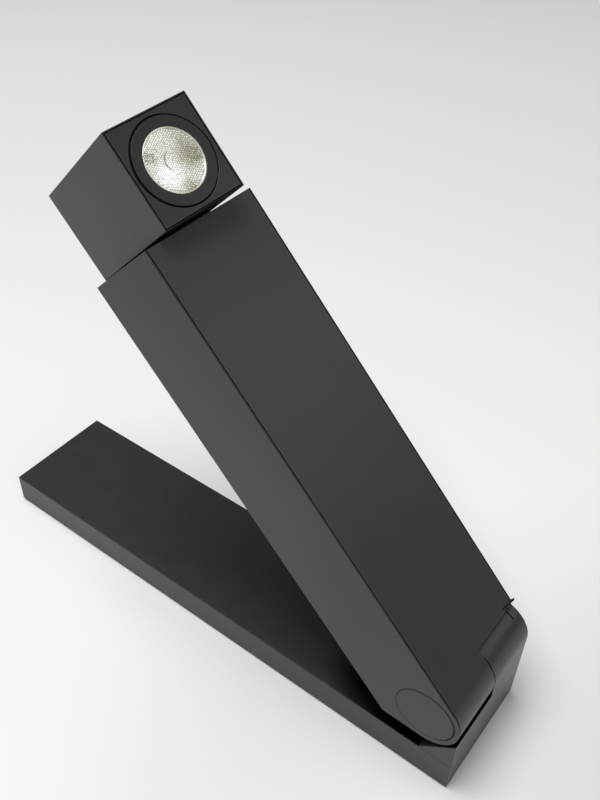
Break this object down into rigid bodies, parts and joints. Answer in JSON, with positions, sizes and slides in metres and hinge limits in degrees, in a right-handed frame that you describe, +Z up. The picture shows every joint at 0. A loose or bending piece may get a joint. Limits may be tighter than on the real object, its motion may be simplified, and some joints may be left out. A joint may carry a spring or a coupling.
{
  "type": "folding desk lamp",
  "caption": "Folding desk lamp: a slab base, a bar arm on a side-by-side knuckle hinge and a swivelling box head with a round lens.",
  "frame": {"origin": "centre of the base's footprint, on the table", "axes": "+X along the base towards the hinge, +Y across it towards the far side (the push button is on the -Y side), +Z up"},
  "size_m": [0.3186, 0.07, 0.2887],
  "materials": {
    "black_coat": "fine matt black powder coat",
    "steel": "plain zinc-plated plate",
    "steel_black": "matt black paint",
    "screw_steel": "bright zinc",
    "rubber_black": "matt",
    "board_green": "solder mask",
    "bronze": "sintered bronze",
    "slide_plastic": "natural acetal",
    "plastic_dark": "moulded black",
    "cable_black": "ribbon cable jacket",
    "lens_clear": "moulded clear with a pebbled face",
    "led_yellow": "phosphor",
    "plain_aluminium": "as extruded"
  },
  "bodies": {
    "base": {"base_casting": "black_coat", "ballast_plate": "steel", "ballast_screws": "screw_steel", "bottom_cover": "steel_black", "bottom_cover_screws": "screw_steel", "foot_pad": "rubber_black", "driver_board": "board_green", "driver_screws": "screw_steel", "power_socket": "screw_steel", "hinge_pin": "screw_steel", "pin_grub_screw": "screw_steel", "disc_springs": "screw_steel", "hinge_nut": "screw_steel"},
    "arm": {"arm_channel": "black_coat", "arm_cover": "black_coat", "arm_end_plate": "black_coat", "arm_end_screws": "screw_steel", "hinge_bushes": "bronze", "thrust_washer": "slide_plastic", "switch_carrier": "plastic_dark", "switch_board": "board_green", "control_board": "board_green", "control_board_screws": "screw_steel", "arm_lead": "cable_black", "swivel_bush": "slide_plastic", "swivel_washer": "plastic_dark"},
    "button": {"push_button": "black_coat", "switch_plunger": "plastic_dark"},
    "head": {"head_shell": "black_coat", "head_front": "black_coat", "head_back": "black_coat", "head_back_screws": "screw_steel", "bezel_ring": "black_coat", "lens": "lens_clear", "lens_holder": "plastic_dark", "led_chip": "led_yellow", "led_board": "plain_aluminium", "led_board_screws": "screw_steel", "heat_sink": "plain_aluminium", "swivel_tube": "screw_steel", "swivel_nut": "screw_steel"}
  },
  "joints": [
    {"name": "arm_fold", "type": "hinge", "parent": "base", "child": "arm", "pos_m": [0.14065, 0, 0.0496], "axis": [0, 1, 0], "range_deg": [-42, 74]},
    {"name": "head_swivel", "type": "hinge", "parent": "arm", "child": "head", "pos_m": [-0.03731, 0, 0.22866], "axis": [-0.6909, 0, 0.723], "range_deg": [-170, 170]},
    {"name": "button_press", "type": "slide", "parent": "arm", "child": "button", "axis": [0, 1, 0], "range_m": [0, 0.0008], "stiffness_N_per_m": 1500, "springref_m": -0.0004}
  ]
}
